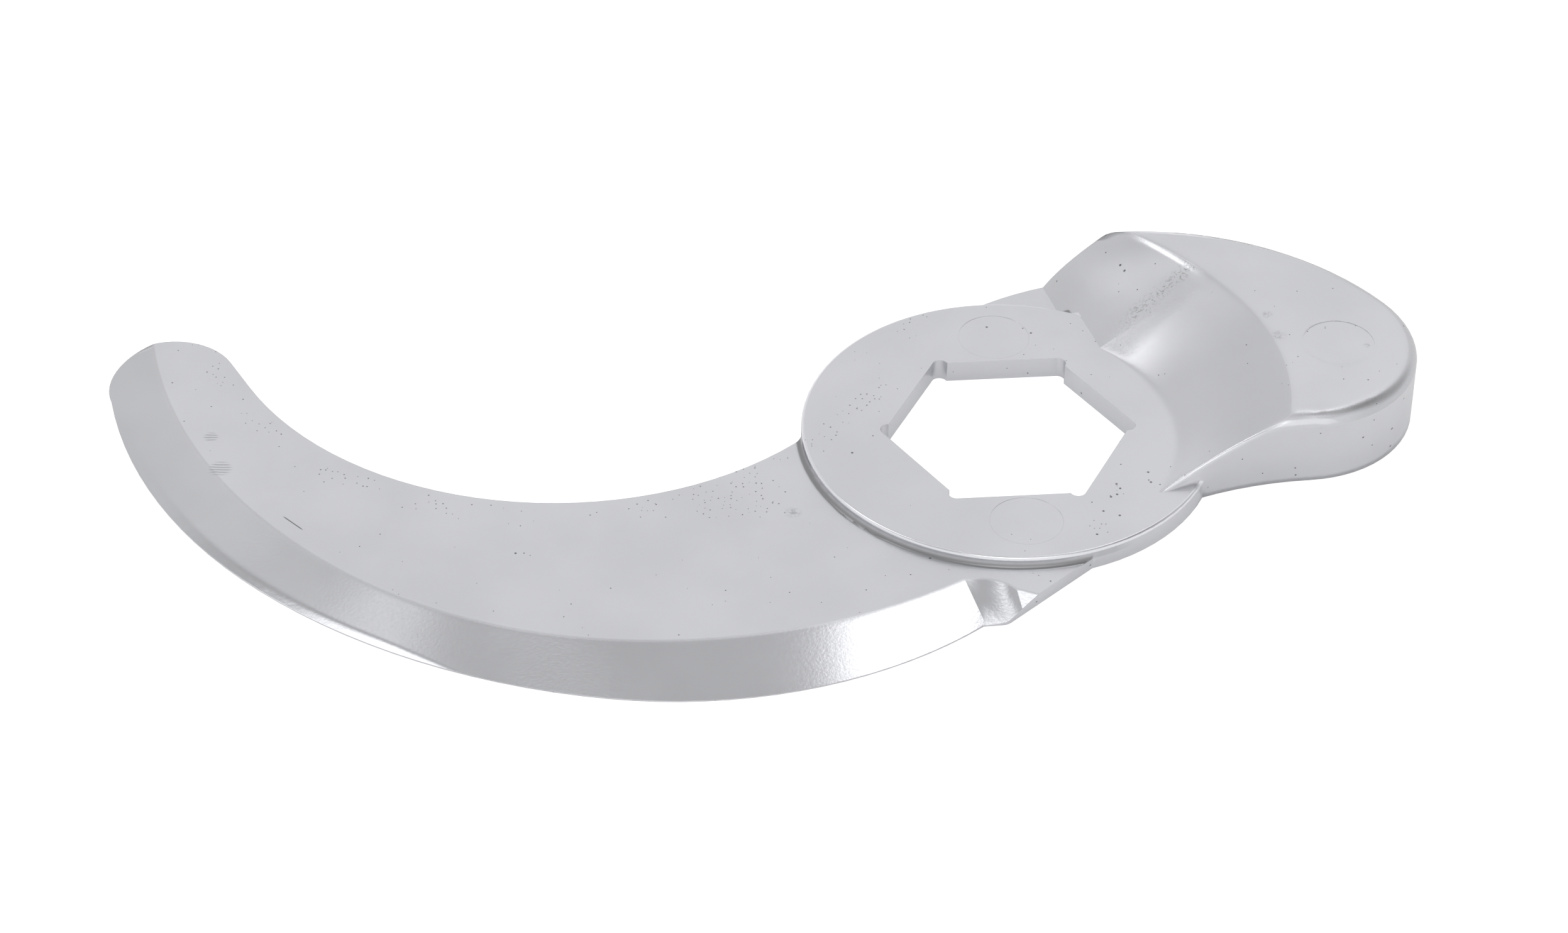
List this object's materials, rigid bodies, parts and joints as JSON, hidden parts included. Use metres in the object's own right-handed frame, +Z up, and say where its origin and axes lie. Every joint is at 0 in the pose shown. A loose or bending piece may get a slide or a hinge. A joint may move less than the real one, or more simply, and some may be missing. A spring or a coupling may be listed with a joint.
{
  "type": "food processor blade",
  "caption": "Sickle-shaped cast cutter blade with a hexagonal drive opening in a flat hub ring, a ground bevel edge and a raised counterweight.",
  "frame": {"origin": "on the hub axis, in the flat underside of the casting", "axes": "+Z up along the hub axis, the blade reaches towards -X and the counterweight towards +X"},
  "size_m": [0.193, 0.0986, 0.0115],
  "materials": {
    "blade_steel": "satin cast and polished, bevel ground bright"
  },
  "bodies": {
    "root": {"cutter_blade": "blade_steel"}
  },
  "joints": []
}
